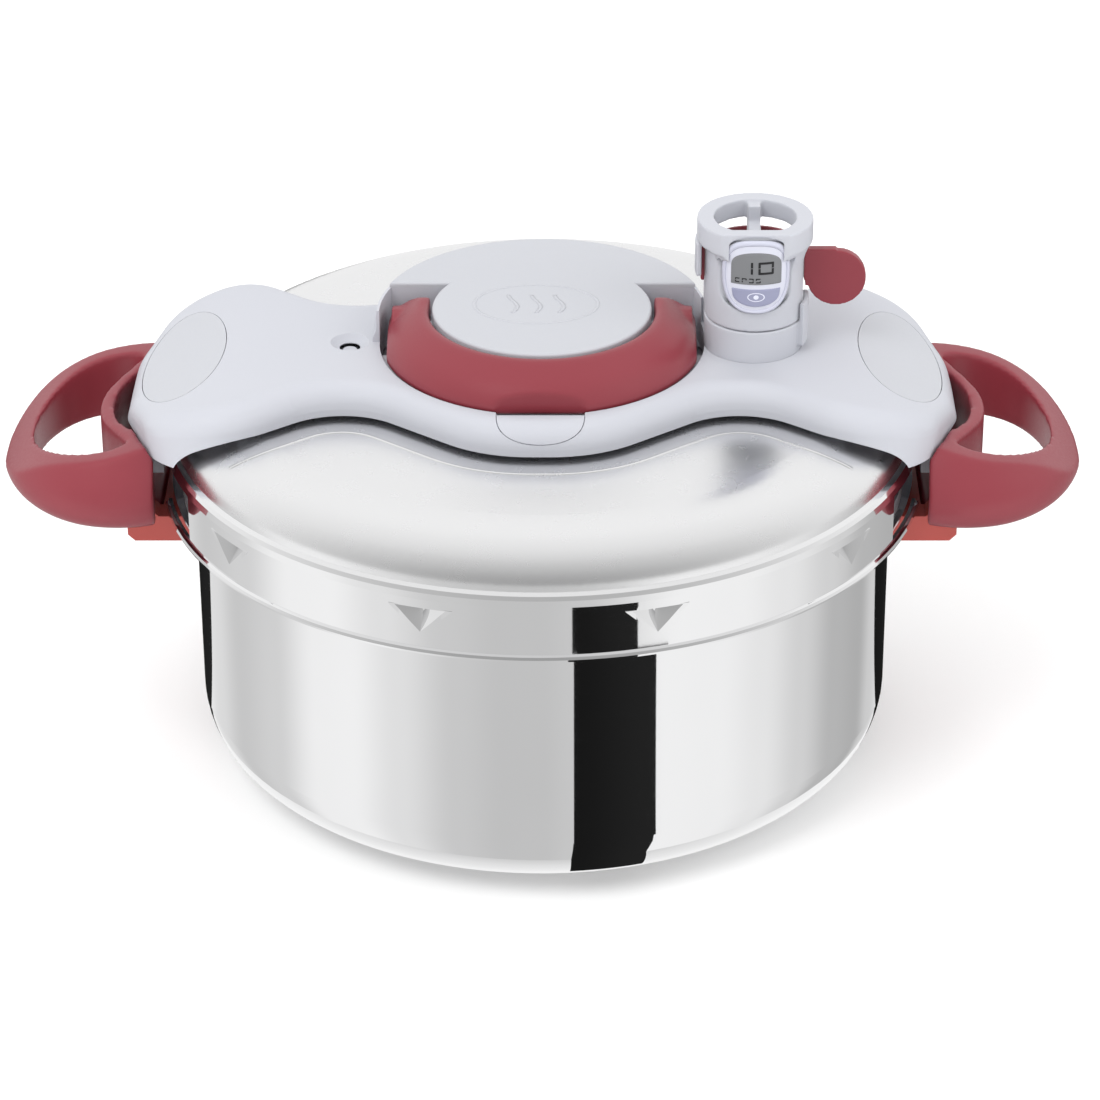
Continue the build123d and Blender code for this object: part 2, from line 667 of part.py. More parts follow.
# ---------------------------------------------------------------- timer
def timer_case():
    x = VALVE_X
    case = rod(TIMER_R, TIMER_Z0, LOOP_Z0 + 1.0, x)
    skirt = tube(15.0, TIMER_R, 164.1, TIMER_Z0 + 1, x) & box(x - 30, x + 30, -30, -0.2, 150, 180)
    loop = tube(14.0, LOOP_R, LOOP_Z0, TIMER_TOP_Z, x)
    flare = turned([(15.0, 182.4), (16.4, 182.4), (17.5, 187.5), (LOOP_R - 0.3, LOOP_Z0 + 0.4), (15.0, LOOP_Z0 + 0.4)])
    case = case + skirt + loop + (Pos(x, 0, 0) * flare & sector(222, 355, 40, 180, 195, x))
    case += box(x - 12, x + 12, -15.5, -11.5, LOOP_Z0, TIMER_TOP_Z)
    case += rod(15.2, LOOP_Z0 - 1, 196, x) & box(x - 20, x + 20, -20, -5, 180, 200)
    case += box(x - 2.2, x + 2.2, 10, 15, LOOP_Z0 - 1, TIMER_TOP_Z - 1)
    case -= box(x - 30, x + 30, 2, 30, LOOP_Z0 - 9, LOOP_Z0 + 1.5) - box(x - 2.2, x + 2.2, 0, 16.0, 170, 200)
    case -= rod(14.6, TIMER_Z0 + 1.6, 179.5, x) & box(x - 20, x + 20, -12.6, 20, 160, 190)
    case -= box(x - ROOM_HALF, x + ROOM_HALF, -12.6, 1.5, 178, LOOP_Z0 - 1.6)
    case -= box(x - ROOM_HALF, x + ROOM_HALF, -12.6, -7, 178, 194.8)
    case -= rod(CELL_R + 0.8, 160, 172, x)
    case -= bezel_blank(0.15, -11.5)
    case -= box(x - 12.85, x + 12.85, -30, -16.0, 184.0, TIMER_TOP_Z + 1)
    return max(case.solids(), key=lambda solid: solid.volume)


def bezel_blank(grow, back_y):
    centre_z = (BEZEL_Z0 + BEZEL_Z1) / 2
    height = BEZEL_Z1 - BEZEL_Z0 + 2 * grow
    width = 2 * (BEZEL_HALF + grow)
    plate = extrude(Plane.XZ.offset(-back_y) * Pos(VALVE_X, centre_z) * RectangleRounded(width, height, 9.0 + grow),
                    amount=back_y - FACE_Y)
    return plate & rod(abs(FACE_Y), 160, 210, VALVE_X)


def window_blank(grow, y0, y1):
    x = VALVE_X
    z0 = 182.0
    width = 2 * (9.0 + grow)
    face = Plane.XZ.offset(-y1) * Pos(x, z0 + 5.75) * RectangleRounded(width, 11.5 + 2 * grow, 3.6)
    return extrude(face, amount=y1 - y0)


def button_blank(grow, y0, y1):
    face = Plane.XZ.offset(-y1) * Pos(VALVE_X, 177.2) * RectangleRounded(17.0 + 2 * grow, 5.2 + 2 * grow, 2.2)
    return extrude(face, amount=y1 - y0)


def timer_bezel():
    plate = bezel_blank(0.0, -12.7)
    plate -= window_blank(0.1, -30, -10)
    plate -= button_blank(0.25, -30, -10)
    return plate


def curved_plate(blank, inner, outer):
    return blank & tube(inner, outer, 160, 210, VALVE_X)


def timer_window():
    return curved_plate(window_blank(0.0, -30, -10), 15.9, 17.8)


def timer_lcd():
    return box(VALVE_X - 9.5, VALVE_X + 9.5, -12.4, -10.6, 181.5, 194.2)


def timer_board():
    return box(VALVE_X - 9.8, VALVE_X + 9.8, -10.3, -8.9, 173.4, 190.0)


def timer_buzzer():
    return rod_y(4.5, -8.8, -5.6, VALVE_X, 183.0)


def timer_cell():
    return rod(CELL_R, 168.9, 172.1, VALVE_X)


def timer_battery_cover():
    cover = rod(CELL_R + 0.7, TIMER_Z0 - 0.2 + 0.05, TIMER_Z0 + 1.2, VALVE_X)
    return cover - box(VALVE_X - 5, VALVE_X + 5, -0.7, 0.7, TIMER_Z0 - 1, TIMER_Z0 + 0.5)


def timer_button():
    return curved_plate(button_blank(0.0, -30, -10), 14.0, 17.9)


# ---------------------------------------------------------------- pressure indicator, safety valve
def indicator_pin():
    foot = rod(4.6, 121.7, 123.9, INDICATOR_X)
    return foot + rod(1.6, 121.7, 146, INDICATOR_X) + rod(2.4, 145.2, 149.6, INDICATOR_X)


def indicator_seal():
    return tube(2.0, 4.4, 128.0, 129.8, INDICATOR_X)


def safety_valve_body():
    body = tube(1.65, 4.9, 124, 133, 0.0)
    head = extrude(Pos(0, 0, 131.6) * RegularPolygon(6.6, 6), amount=5.0) - rod(1.65, 120, 140)
    return body + head


def safety_valve_plunger():
    return rod(1.6, 119.5, 138.6) + rod(3.4, 119.5, 121.5)


# ---------------------------------------------------------------- side handles, built on the +X side
def handle_bracket():
    foot_z = HINGE_Z - NOSE_R
    base = box(110, 131.5, -CHEEK_OUT, CHEEK_OUT, foot_z, BRACKET_TOP_Z)
    for y0 in (-CHEEK_OUT, CHEEK_IN):
        y1 = y0 + CHEEK_OUT - CHEEK_IN
        base += box(131.0, HINGE_X, y0, y1, foot_z, BRACKET_TOP_Z)
        base += rod_y(NOSE_R, y0, y1, HINGE_X, HINGE_Z)
        toe = HINGE_X + NOSE_R
        low = [(HINGE_X - 1, foot_z), (toe - 2.4, foot_z), (toe, foot_z + 2.4), (toe, HINGE_Z), (HINGE_X - 1, HINGE_Z)]
        base += prism_xz(low, y0, y1)
    base -= rod(POT_R + 0.02, 70, 120)
    base -= rod_y(PIN_R, -PIN_END, PIN_END, HINGE_X, HINGE_Z)
    base -= box(131.5, 160, -CHEEK_IN, CHEEK_IN, 70, 120)
    for y in BRACKET_SCREW_Y:
        base -= rod_x(2.1, 118, 132, y, BRACKET_SCREW_Z) + rod_x(4.2, 128.5, 132, y, BRACKET_SCREW_Z)
    return base


def bracket_screws():
    screws = []
    for side in (-1, 1):
        for y in BRACKET_SCREW_Y:
            screw = rod_x(2.0, 122.05, 128.6, y, BRACKET_SCREW_Z) + rod_x(4.0, 128.5, 131.2, y, BRACKET_SCREW_Z)
            screws.append(screw if side > 0 else mirrored_x(screw))
    return screws


def hinge_pins():
    # pins moulded into the cheeks, not showing outside
    pin = rod_y(PIN_R, -PIN_END, PIN_END, HINGE_X, HINGE_Z)
    return [pin, mirrored_x(pin)]


def mirrored_curve(half):
    return Spline(*(half + [(x, -y) for x, y in reversed(half[:-1])]))


def handle_plan(tip, shrink):
    # outline of the loop at one height: half ellipse outside, saddle towards the housing
    outer = [(131.5, 50.5 - shrink), (139.0, 52.6 - shrink)]
    for step in range(6):
        angle = math.radians(90 - 18 * step)
        outer.append((GRIP_X + (tip - GRIP_X) * math.cos(angle), (GRIP_HALF - shrink) * math.sin(angle)))
    outer[-1] = (tip, 0.0)
    inner = [(133.5, 29.0), (140.5, 24.0), (147.2, 12.5), (149.0, 0.0)]
    start = outer[0]
    sides = Line(start, inner[0]) + Line((start[0], -start[1]), (inner[0][0], -inner[0][1]))
    return make_face(mirrored_curve(outer) + mirrored_curve(inner) + sides)


def grip_hole():
    outer = mirrored_curve([(141.5, 33.5), (148.0, 37.2), (160.0, 35.0), (170.0, 25.5), (175.5, 13.5), (177.5, 0)])
    inner = mirrored_curve([(141.5, 33.5), (147.0, 23.0), (152.4, 11.0), (154.0, 0.0)])
    return extrude(Pos(0, 0, 90) * make_face(outer + inner), amount=60)


def handle_slope():
    # everything above the ridge, which falls from the housing to the outer end
    ridge = [(126, 133.0), (134, 132.4), (141, 131.2), (150, 129.4), (160, 127.4), (170, 124.0), (179, 118.6)]
    ridge.append((190, 109.0))
    above = Spline(*ridge) + Polyline(ridge[-1], (190, 150), (126, 150), ridge[0])
    return extrude(Plane.XZ.offset(-70) * make_face(above), amount=140)


def handle_loop():
    # height, outer end, narrowing at each side
    plans = [(HANDLE_BOTTOM_Z, 181.0, 5.5), (108.0, 186.6, 1.8), (113.5, 188.4, 0.0), (120.0, 187.0, 1.6),
             (126.0, 183.0, 5.2), (HANDLE_TOP_Z, 176.0, 12.5)]
    faces = [Pos(0, 0, z) * handle_plan(tip, shrink) for z, tip, shrink in plans]
    loop = loft(faces)
    loop -= handle_slope()
    loop -= extrude(Pos(0, 0, BEAM_BOTTOM_Z - 0.6) * bridge_outline(-0.8), amount=20)
    loop -= grip_hole()
    tongue = rod_y(NOSE_R - 0.4, -TONGUE_HALF, TONGUE_HALF, HINGE_X, HINGE_Z)
    web = [(133.8, 100.5), (146.0, 107.0), (153.0, 107.0), (153.0, 104.5), (142.4, 94.2), (HINGE_X, HINGE_Z)]
    tongue += prism_xz(web, -TONGUE_HALF, TONGUE_HALF)
    tongue -= grip_hole()
    loop += tongue
    loop -= rod_y(PIN_R + FIT, -40, 40, HINGE_X, HINGE_Z)
    return max(loop.solids(), key=lambda solid: solid.volume)


# ---------------------------------------------------------------- write every piece
def main():
    os.makedirs("parts", exist_ok=True)
    jaw = front_jaw()
    bracket = handle_bracket()
    handle = handle_loop()
    bridge = bridge_block()
    save("pot", pot())
    save("pot_base_disc", pot_base_disc())
    save("lid", lid())
    save("lid_gasket", lid_gasket())
    save("lid_studs", *lid_studs())
    save("front_jaw", jaw)
    rear = mirror(jaw, about=Plane.XZ)
    save("rear_jaw", rear)
    save("front_slide", front_slide())
    save("rear_slide", rear_slide())
    save("front_slide_rivets", *slide_rivets(-1))
    save("rear_slide_rivets", *slide_rivets(1))
    save("opening_handle", opening_handle())
    save("right_pinion", pinion(1))
    save("left_pinion", pinion(-1))
    save("housing_upper", housing_upper(bridge))
    save("housing_lower", housing_lower())
    save("housing_screws", *housing_screws())
    save("right_end_cap", end_cap(1, bridge))
    save("left_end_cap", end_cap(-1, bridge))
    save("centre_cap", centre_cap())
    save("unlock_button", unlock_button(bridge))
    save("button_spring", button_spring())
    save("valve_body", valve_body())
    save("valve_nut", valve_nut())
    save("timer_cradle", timer_cradle())
    save("selector_lever", selector_lever())
    save("timer_case", timer_case())
    save("timer_bezel", timer_bezel())
    save("timer_window", timer_window())
    save("timer_lcd", timer_lcd())
    save("timer_board", timer_board())
    save("timer_buzzer", timer_buzzer())
    save("timer_cell", timer_cell())
    save("timer_battery_cover", timer_battery_cover())
    save("timer_button", timer_button())
    save("indicator_pin", indicator_pin())
    save("indicator_seal", indicator_seal())
    save("safety_valve_body", safety_valve_body())
    save("safety_valve_plunger", safety_valve_plunger())
    save("right_handle_bracket", bracket)
    save("left_handle_bracket", mirrored_x(bracket))
    save("bracket_screws", *bracket_screws())
    save("handle_hinge_pins", *hinge_pins())
    save("right_side_handle", handle)
    save("left_side_handle", mirrored_x(handle))


main()
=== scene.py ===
import json
import math

import bmesh
import bpy
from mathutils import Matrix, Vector

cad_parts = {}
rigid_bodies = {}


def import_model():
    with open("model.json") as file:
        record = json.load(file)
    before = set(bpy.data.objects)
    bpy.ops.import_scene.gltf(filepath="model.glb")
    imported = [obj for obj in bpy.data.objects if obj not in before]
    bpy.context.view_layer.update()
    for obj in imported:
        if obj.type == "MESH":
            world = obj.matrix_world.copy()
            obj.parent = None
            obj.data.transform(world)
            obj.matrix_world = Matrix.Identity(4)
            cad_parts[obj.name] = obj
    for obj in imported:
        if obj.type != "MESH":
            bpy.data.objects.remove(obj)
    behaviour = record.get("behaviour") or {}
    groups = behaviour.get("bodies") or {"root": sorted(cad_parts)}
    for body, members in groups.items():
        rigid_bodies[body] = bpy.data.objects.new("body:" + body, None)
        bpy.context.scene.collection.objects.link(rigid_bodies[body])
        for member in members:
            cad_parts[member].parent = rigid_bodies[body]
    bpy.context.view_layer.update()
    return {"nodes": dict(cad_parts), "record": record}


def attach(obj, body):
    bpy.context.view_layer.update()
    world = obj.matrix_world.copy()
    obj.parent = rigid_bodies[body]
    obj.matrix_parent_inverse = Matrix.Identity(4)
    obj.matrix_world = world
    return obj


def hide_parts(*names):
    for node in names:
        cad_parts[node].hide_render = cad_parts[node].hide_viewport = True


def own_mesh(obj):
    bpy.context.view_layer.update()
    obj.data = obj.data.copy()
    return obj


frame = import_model()
NODES = frame["nodes"]
RECORD = frame["record"]
BODY_OF = {node: body for body, nodes in RECORD["behaviour"]["bodies"].items() for node in nodes}
SLOT_OF = {part["node"]: part["material_slot"] for part in RECORD["subparts"]}
JOINTS = {joint["name"]: joint for joint in RECORD["behaviour"]["joints"]}

# shapes on the cooker are drawn in millimetres, the stage round it in metres
MM = 0.001


# ---------------------------------------------------------------- shader helpers
# the span that a noise texture's values mostly stay in
NOISE_LOW = 0.3
NOISE_HIGH = 0.7

# how light spreads under the skin of the pale plastics
SKIN_RADIUS = (1.0, 0.9, 0.85)
SKIN_DEPTH = 0.002


def new_material(name):
    mat = bpy.data.materials.new(name)
    mat.use_nodes = True
    tree = mat.node_tree
    tree.nodes.clear()
    return mat, tree


def add(tree, kind, **settings):
    node = tree.nodes.new(kind)
    for key, value in settings.items():
        if key == "inputs":
            for socket, amount in value.items():
                node.inputs[socket].default_value = amount
        else:
            setattr(node, key, value)
    return node


def wire(tree, source, output, target, socket):
    tree.links.new(source.outputs[output], target.inputs[socket])


def ramp(tree, stops, interpolation="LINEAR"):
    node = tree.nodes.new("ShaderNodeValToRGB")
    node.color_ramp.interpolation = interpolation
    elements = node.color_ramp.elements
    while len(elements) < len(stops):
        elements.new(0.5)
    for element, (position, colour) in zip(elements, stops):
        element.position = position
        if isinstance(colour, (int, float)):
            colour = (colour, colour, colour)
        element.color = (*colour, 1.0)
    return node


def noise(tree, source, output, scale, detail=6.0, roughness=0.6):
    texture = add(tree, "ShaderNodeTexNoise", inputs={
        "Scale": scale, "Detail": detail, "Roughness": roughness,
    })
    wire(tree, source, output, texture, "Vector")
    return texture


def stretched(tree, texture, low, high):
    # a noise texture's values spread over low to high
    node = add(tree, "ShaderNodeMapRange", inputs={
        "From Min": NOISE_LOW, "From Max": NOISE_HIGH, "To Min": low, "To Max": high,
    })
    wire(tree, texture, "Fac", node, "Value")
    return node


def tinted(tree, texture, dark, light):
    # a noise texture's values as a colour between dark and light
    node = ramp(tree, [(NOISE_LOW, dark), (NOISE_HIGH, light)])
    wire(tree, texture, "Fac", node, "Fac")
    return node


def shade(rgb, factor):
    return tuple(min(1.0, c * factor) for c in rgb)


def surface(name, rgb, rough, metallic=0.0, vary=0.03, rough_vary=0.05, scale=300.0, bump=0.0, stretch=None,
            specular=0.5, subsurface=0.0, mottle=8.0):
    # a principled surface with a cloudy colour and fine grain in its roughness and relief
    mat, tree = new_material(name)
    out = add(tree, "ShaderNodeOutputMaterial")
    bsdf = add(tree, "ShaderNodeBsdfPrincipled", inputs={
        "Metallic": metallic,
        "Specular IOR Level": specular,
        "Subsurface Weight": subsurface,
        "Subsurface Radius": SKIN_RADIUS,
        "Subsurface Scale": SKIN_DEPTH,
    })
    place = add(tree, "ShaderNodeTexCoord")
    mapping = add(tree, "ShaderNodeMapping")
    if stretch:
        mapping.inputs["Scale"].default_value = stretch
    wire(tree, place, "Object", mapping, "Vector")
    grain = noise(tree, mapping, "Vector", scale)
    cloud = noise(tree, place, "Object", mottle, detail=3.0, roughness=0.5)
    tint = tinted(tree, cloud, shade(rgb, 1 - vary), shade(rgb, 1 + vary))
    wire(tree, tint, "Color", bsdf, "Base Color")
    gloss = stretched(tree, grain, rough * (1 - rough_vary), rough * (1 + rough_vary))
    wire(tree, gloss, "Result", bsdf, "Roughness")
    if bump:
        relief = add(tree, "ShaderNodeBump", inputs={"Strength": 1.0, "Distance": bump})
        wire(tree, grain, "Fac", relief, "Height")
        wire(tree, relief, "Normal", bsdf, "Normal")
    wire(tree, bsdf, "BSDF", out, "Surface")
    return mat


# ---------------------------------------------------------------- materials
# the jaws are mirror bright up to the first height and satin from the second one up
BAND_TOP = 123.5
DOME_FOOT = 127.5
BAND_ROUGH = 0.04
DOME_ROUGH = 0.27


def jaw_steel():
    mat, tree = new_material("Jaw steel")
    out = add(tree, "ShaderNodeOutputMaterial")
    bsdf = add(tree, "ShaderNodeBsdfPrincipled", inputs={"Metallic": 1.0})
    place = add(tree, "ShaderNodeTexCoord")
    split = add(tree, "ShaderNodeSeparateXYZ")
    wire(tree, place, "Object", split, "Vector")
    level = add(tree, "ShaderNodeMapRange", interpolation_type="SMOOTHSTEP", inputs={
        "From Min": BAND_TOP * MM, "From Max": DOME_FOOT * MM, "To Min": BAND_ROUGH, "To Max": DOME_ROUGH,
    })
    wire(tree, split, "Z", level, "Value")
    grain = noise(tree, place, "Object", 120.0)
    uneven = stretched(tree, grain, 0.97, 1.03)
    rough = add(tree, "ShaderNodeMath", operation="MULTIPLY")
    wire(tree, level, "Result", rough, 0)
    wire(tree, uneven, "Result", rough, 1)
    wire(tree, rough, "Value", bsdf, "Roughness")
    tint = tinted(tree, grain, (0.862, 0.862, 0.867), (0.868, 0.868, 0.873))
    wire(tree, tint, "Color", bsdf, "Base Color")
    wire(tree, bsdf, "BSDF", out, "Surface")
    return mat


def clear_window():
    # see-through, with a slightly dusty reflection
    mat, tree = new_material("Clear window")
    out = add(tree, "ShaderNodeOutputMaterial")
    clear = add(tree, "ShaderNodeBsdfTransparent")
    gloss = add(tree, "ShaderNodeBsdfGlossy", inputs={"Color": (1, 1, 1, 1)})
    dust = add(tree, "ShaderNodeTexNoise", inputs={"Scale": 600.0, "Detail": 4.0})
    rough = add(tree, "ShaderNodeMapRange", inputs={"To Min": 0.04, "To Max": 0.10})
    edge = add(tree, "ShaderNodeFresnel", inputs={"IOR": 1.45})
    mix = add(tree, "ShaderNodeMixShader")
    wire(tree, dust, "Fac", rough, "Value")
    wire(tree, rough, "Result", gloss, "Roughness")
    wire(tree, edge, "Fac", mix, "Fac")
    wire(tree, clear, "BSDF", mix, 1)
    wire(tree, gloss, "BSDF", mix, 2)
    wire(tree, mix, "Shader", out, "Surface")
    return mat


STEEL = surface("Polished steel", (0.86, 0.86, 0.865), 0.035, metallic=1.0, vary=0.012, rough_vary=0.35,
                scale=90.0, stretch=(1.0, 1.0, 14.0), mottle=14.0)
BASE_STEEL = surface("Base steel", (0.66, 0.66, 0.67), 0.28, metallic=1.0, vary=0.05, rough_vary=0.3,
                     scale=160.0, bump=0.00001)
LID_STEEL = surface("Satin lid steel", (0.74, 0.74, 0.75), 0.22, metallic=1.0, vary=0.03, rough_vary=0.3,
                    scale=220.0)
JAW_STEEL = jaw_steel()
ZINC = surface("Zinc steel", (0.60, 0.61, 0.63), 0.30, metallic=1.0, vary=0.06, rough_vary=0.3, scale=260.0)
WHITE = surface("White plastic", (0.52, 0.53, 0.575), 0.40, vary=0.010, rough_vary=0.12, scale=900.0,
                bump=0.000006, specular=0.42, subsurface=0.05)
GREY = surface("Cap plastic", (0.505, 0.515, 0.55), 0.44, vary=0.012, rough_vary=0.12, scale=900.0,
               bump=0.000006, specular=0.38, subsurface=0.05)
RED = surface("Wine red plastic", (0.255, 0.036, 0.050), 0.36, vary=0.04, rough_vary=0.14, scale=1100.0,
              bump=0.000008, specular=0.45)
BRACKET = surface("Bracket red plastic", (0.50, 0.075, 0.06), 0.40, vary=0.04, rough_vary=0.12, scale=1000.0,
                  bump=0.000008)
RUBBER = surface("Silicone", (0.50, 0.51, 0.53), 0.55, vary=0.05, scale=500.0)
BEZEL = surface("Bezel plastic", (0.55, 0.56, 0.66), 0.26, vary=0.02, scale=700.0)
LCD = surface("Display", (0.20, 0.205, 0.215), 0.35, vary=0.03, scale=1500.0)
KEY = surface("Key rubber", (0.30, 0.31, 0.44), 0.45, vary=0.03, scale=900.0)
BOARD = surface("Circuit board", (0.05, 0.20, 0.09), 0.45, vary=0.10, scale=400.0)
BRASS = surface("Brass", (0.72, 0.54, 0.26), 0.25, metallic=1.0, vary=0.06, rough_vary=0.3, scale=300.0)
INK = surface("Display segments", (0.012, 0.012, 0.014), 0.5, vary=0.1, scale=900.0)
FACE = surface("Timer face", (0.66, 0.67, 0.76), 0.30, vary=0.015, scale=800.0)
MARK = surface("Key symbol", (0.74, 0.75, 0.86), 0.40, vary=0.02, scale=900.0)

BY_SLOT = {
    "polished_steel": STEEL,
    "base_steel": BASE_STEEL,
    "brushed_lid": LID_STEEL,
    "zinc_steel": ZINC,
    "white_plastic": WHITE,
    "grey_cap": GREY,
    "red_plastic": RED,
    "bracket_red": BRACKET,
    "gasket_rubber": RUBBER,
    "bezel_plastic": BEZEL,
    "clear_window": clear_window(),
    "lcd_glass": LCD,
    "board_green": BOARD,
    "button_violet": KEY,
    "brass_part": BRASS,
}
for name, node in NODES.items():
    node.data.materials.clear()
    node.data.materials.append(JAW_STEEL if name in ("front_jaw", "rear_jaw") else BY_SLOT[SLOT_OF[name]])


# ---------------------------------------------------------------- pieces shown in place of a CAD node
# a moulded piece's voxel size in mm and its smoothing passes
SOFT_PIECES = {
    "right_side_handle": (0.8, 14),
    "left_side_handle": (0.8, 14),
    "opening_handle": (0.8, 6),
    "selector_lever": (0.4, 3),
    "timer_case": (0.5, 4),
    "timer_cradle": (0.4, 3),
}


def copy_of(node, name):
    obj = bpy.data.objects.new(name, NODES[node].data.copy())
    bpy.context.scene.collection.objects.link(obj)
    return obj


def stand_in(obj, node):
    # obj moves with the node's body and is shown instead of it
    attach(obj, BODY_OF[node])
    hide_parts(node)


def softened(node, voxel, passes):
    # the same piece with its moulded edges rounded over
    obj = copy_of(node, "soft_" + node)
    remesh = obj.modifiers.new("Remesh", "REMESH")
    remesh.mode = "VOXEL"
    remesh.voxel_size = voxel * MM
    smooth = obj.modifiers.new("Smooth", "SMOOTH")
    smooth.factor = 0.5
    smooth.iterations = passes
    bpy.context.view_layer.update()
    shape = bpy.data.meshes.new_from_object(obj.evaluated_get(bpy.context.evaluated_depsgraph_get()))
    obj.modifiers.clear()
    obj.data = shape
    shape.shade_smooth()
    shape.materials.clear()
    shape.materials.append(BY_SLOT[SLOT_OF[node]])
    stand_in(obj, node)


def shortening_spring():
    # a copy of the button's coil, with a mesh of its own, shown in place of the node
    coil = copy_of("button_spring", "shortening_spring")
    stand_in(coil, "button_spring")
    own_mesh(coil)


for node, (voxel, passes) in SOFT_PIECES.items():
    softened(node, voxel, passes)
shortening_spring()


# ---------------------------------------------------------------- plates and borders from outlines
# a plate's flat is made of this many rings, and its edge is rounded in two steps, the first at this share
FLAT_RINGS = 8
RIM_STEP = 0.3

# a border is this many points round and steps across; its section is a sine bow less a lip at each end, and
# it stands on a root that reaches into the face below it
BORDER_POINTS = 96
BORDER_STEPS = 6
BORDER_LIP = 0.08
BORDER_ROOT = 0.6

# points round an oval and an egg, and steps over half a turn of a bow
OVAL_POINTS = 64
EGG_POINTS = 96
BOW_STEPS = 24

# the timer's face is drawn on cylinders about the valve's axis: u runs round from the middle of the front,
# z is the height and radius the distance from that axis
TIMER_X = JOINTS["selector_turn"]["pos_m"][0] / MM


def wrapped(u, z, radius):
    return ((TIMER_X + radius * math.sin(u / radius)) * MM, -radius * math.cos(u / radius) * MM, z * MM)


def mesh_object(name, verts, faces, mat, body):
    mesh = bpy.data.meshes.new(name)
    mesh.from_pydata(verts, [], faces)
    mesh.validate()
    mesh.shade_smooth()
    mesh.materials.append(mat)
    obj = bpy.data.objects.new(name, mesh)
    bpy.context.scene.collection.objects.link(obj)
    bm = bmesh.new()
    bm.from_mesh(mesh)
    bmesh.ops.recalc_face_normals(bm, faces=bm.faces)
    bm.to_mesh(mesh)
    bm.free()
    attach(obj, body)
    return obj


def between(a, b, t):
    return (a[0] + (b[0] - a[0]) * t, a[1] + (b[1] - a[1]) * t)


def resampled(points, count):
    # the closed outline with its points evenly spaced
    closed = points + [points[0]]
    runs = [math.dist(a, b) for a, b in zip(closed, closed[1:])]
    total = sum(runs)
    even = []
    for k in range(count):
        target = total * k / count
        index = 0
        while target > runs[index] and index < len(runs) - 1:
            target -= runs[index]
            index += 1
        t = target / runs[index] if runs[index] else 0.0
        even.append(between(closed[index], closed[index + 1], t))
    return even


def panel(name, outline, back, front, mat, body, edge=0.25, count=72):
    # a thin plate of the given outline, on the timer, with a rounded rim
    outline = resampled(outline, count)
    cu = sum(u for u, z in outline) / count
    cz = sum(z for u, z in outline) / count
    size = max(math.dist(point, (cu, cz)) for point in outline)
    levels = [(k / FLAT_RINGS * (1 - edge / size), front) for k in range(1, FLAT_RINGS + 1)]
    levels += [(1 - RIM_STEP * edge / size, front - RIM_STEP * edge), (1.0, front - edge), (1.0, back)]
    verts = [wrapped(cu, cz, front)]
    for grow, radius in levels:
        verts += [wrapped(cu + (u - cu) * grow, cz + (z - cz) * grow, radius) for u, z in outline]
    verts.append(wrapped(cu, cz, back))
    faces = [(0, 1 + i, 1 + (i + 1) % count) for i in range(count)]
    for k in range(len(levels) - 1):
        first = 1 + k * count
        for i in range(count):
            j = (i + 1) % count
            faces.append((first + i, first + count + i, first + count + j, first + j))
    last = 1 + (len(levels) - 1) * count
    faces += [(len(verts) - 1, last + (i + 1) % count, last + i) for i in range(count)]
    return mesh_object(name, verts, faces, mat, body)


def border(name, outer, inner, base, height, mat, body, place=wrapped):
    # a raised border between two outlines, rounded across
    outer = resampled(outer, BORDER_POINTS)
    inner = resampled(inner, BORDER_POINTS)
    verts = []
    for step in range(BORDER_STEPS + 1):
        t = step / BORDER_STEPS
        level = base + height * math.sin(math.pi * (BORDER_LIP + (1 - 2 * BORDER_LIP) * t))
        verts += [place(*between(a, b, t), level) for a, b in zip(outer, inner)]
    for outline in (inner, outer):
        verts += [place(u, z, base - BORDER_ROOT) for u, z in outline]
    rows = BORDER_STEPS + 3
    faces = []
    for k in range(rows):
        this = k * BORDER_POINTS
        after = (k + 1) % rows * BORDER_POINTS
        for i in range(BORDER_POINTS):
            j = (i + 1) % BORDER_POINTS
            faces.append((this + i, after + i, after + j, this + j))
    return mesh_object(name, verts, faces, mat, body)


def oval(half_u, half_z, centre_u, centre_z):
    turns = [2 * math.pi * k / OVAL_POINTS for k in range(OVAL_POINTS)]
    return [(centre_u + half_u * math.cos(a), centre_z + half_z * math.sin(a)) for a in turns]


def egg(half_u, low, high, power=2.5, taper=0.05):
    # an upright oval with full corners, a little wider at the top
    middle = (low + high) / 2
    rise = (high - low) / 2
    points = []
    for k in range(EGG_POINTS):
        across = math.cos(2 * math.pi * k / EGG_POINTS)
        up = math.sin(2 * math.pi * k / EGG_POINTS)
        u = half_u * math.copysign(abs(across) ** (2 / power), across) * (1 + taper * up)
        points.append((u, middle + rise * math.copysign(abs(up) ** (2 / power), up)))
    return points


def bow(half, level, rise, power=1.0):
    # the inner points of an arch from (half, level) over to (-half, level)
    turns = [math.pi * k / BOW_STEPS for k in range(1, BOW_STEPS)]
    return [(half * math.cos(a), level + rise * math.sin(a) ** power) for a in turns]


# ---------------------------------------------------------------- the timer's face
TIMER_KEY_BODY = BODY_OF["timer_button"]
SCREEN_HALF = 8.9
SCREEN_LOW = 182.4
SCREEN_SHOULDER = 189.0
SCREEN_RISE = 5.2
KEY_TOP = 180.6
KEY_TOP_HALF = 8.6
KEY_SHOULDER = 178.6
KEY_HALF = 8.3
KEY_DROP = 4.3
SYMBOL_Z = 177.9


def timer_rim():
    outer = egg(half_u=12.6, low=171.6, high=198.5)
    inner = egg(half_u=10.9, low=173.0, high=196.6)
    rim = border("timer_face_rim", outer, inner, base=17.55, height=0.75,
                 mat=BEZEL, body="timer")
    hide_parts("timer_bezel")


def timer_plate():
    panel("timer_face_plate", egg(half_u=11.4, low=172.6, high=197.2), back=16.9, front=17.75,
          mat=FACE, body="timer")


